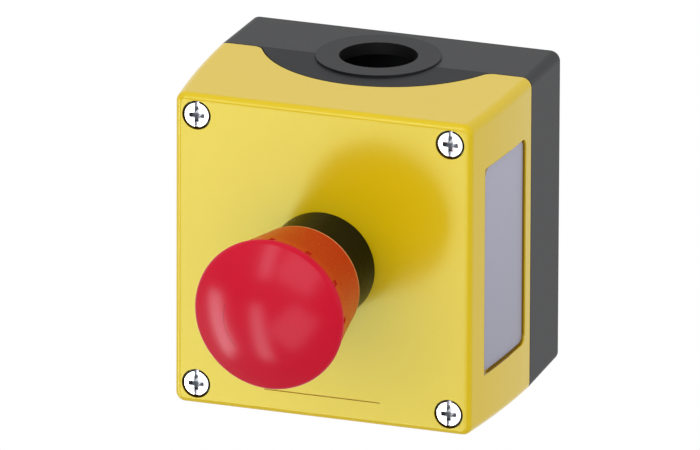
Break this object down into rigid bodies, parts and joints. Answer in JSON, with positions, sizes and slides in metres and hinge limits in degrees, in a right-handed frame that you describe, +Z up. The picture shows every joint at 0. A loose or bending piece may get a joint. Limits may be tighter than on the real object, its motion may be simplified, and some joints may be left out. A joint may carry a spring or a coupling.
{
  "type": "emergency stop button",
  "caption": "Surface-mounted emergency stop station: square two-part plastic case with cable entries, a latching mushroom push button and break contacts inside.",
  "frame": {"origin": "centre of the case's back face, which lies on the wall", "axes": "+Z up, +X to the right of someone facing the button, -Y out of the wall along the button's axis"},
  "size_m": [0.085, 0.1112, 0.0856],
  "materials": {
    "black_case": "matt moulded",
    "yellow_case": "satin moulded",
    "rubber": "matt",
    "zinc_steel": "bright zinc plated",
    "label_foil": "matt printed foil, bare",
    "black_actuator": "satin moulded",
    "orange_skirt": "satin moulded",
    "red_cap": "gloss moulded",
    "grey_plastic": "matt moulded",
    "spring_steel": "drawn wire",
    "brass": "turned",
    "silver_contact": "silver-faced strip",
    "white_plastic": "matt moulded"
  },
  "bodies": {
    "case": {"enclosure_base": "black_case", "enclosure_cover": "yellow_case", "cover_gasket": "rubber", "cover_screws": "zinc_steel", "side_label": "label_foil", "actuator_collar": "black_actuator", "collar_seal": "rubber", "mounting_holder": "grey_plastic", "holder_screws": "zinc_steel", "guide_bush": "white_plastic", "latch_sleeve": "white_plastic", "return_spring": "spring_steel", "contact_carrier": "grey_plastic", "carrier_screws": "zinc_steel", "contact_block_left": "black_case", "block_lid_left": "grey_plastic", "fixed_contacts_left": "silver_contact", "terminal_clamps_left": "zinc_steel", "terminal_screws_left": "zinc_steel", "contact_spring_left": "spring_steel", "contact_block_right": "black_case", "block_lid_right": "grey_plastic", "fixed_contacts_right": "silver_contact", "terminal_clamps_right": "zinc_steel", "terminal_screws_right": "zinc_steel", "contact_spring_right": "spring_steel"},
    "plunger": {"plunger_stem": "grey_plastic", "push_foot": "black_actuator", "stem_clip": "spring_steel", "turn_spring": "spring_steel", "hub_washer": "zinc_steel", "hub_screw": "zinc_steel", "latch_spring": "spring_steel"},
    "head": {"cap_hub": "grey_plastic", "cap_skirt": "orange_skirt", "mushroom_cap": "red_cap"},
    "upper_pin": {"latch_pin_upper": "brass"},
    "lower_pin": {"latch_pin_lower": "brass"},
    "left_contact": {"contact_plunger_left": "red_cap", "contact_bridge_left": "silver_contact"},
    "right_contact": {"contact_plunger_right": "red_cap", "contact_bridge_right": "silver_contact"}
  },
  "joints": [
    {"name": "press", "type": "slide", "parent": "case", "child": "plunger", "axis": [0, 1, 0], "range_m": [0, 0.006], "stiffness_N_per_m": 1500, "springref_m": -0.008, "deforming": ["return_spring"]},
    {"name": "unlatch_turn", "type": "hinge", "parent": "plunger", "child": "head", "pos_m": [0, -0.1, 0], "axis": [0, 1, 0], "range_deg": [0, 45], "stiffness_Nm_per_rad": 0.08, "springref_deg": -14.32, "deforming": ["turn_spring"]},
    {"name": "upper_pin_slide", "type": "slide", "parent": "plunger", "child": "upper_pin", "axis": [0, 0, -1], "range_m": [0, 0.001], "deforming": ["latch_spring"]},
    {"name": "lower_pin_slide", "type": "slide", "parent": "plunger", "child": "lower_pin", "axis": [0, 0, 1], "range_m": [0, 0.001]},
    {"name": "left_contact_slide", "type": "slide", "parent": "case", "child": "left_contact", "axis": [0, 1, 0], "range_m": [0, 0.0065], "deforming": ["contact_spring_left"]},
    {"name": "right_contact_slide", "type": "slide", "parent": "case", "child": "right_contact", "axis": [0, 1, 0], "range_m": [0, 0.0065], "deforming": ["contact_spring_right"]}
  ],
  "couplings": [
    {"joint": "upper_pin_slide", "follows": "press", "ratio": 0.13333},
    {"joint": "lower_pin_slide", "follows": "press", "ratio": 0.13333},
    {"joint": "left_contact_slide", "follows": "press", "ratio": 1},
    {"joint": "right_contact_slide", "follows": "press", "ratio": 1}
  ]
}
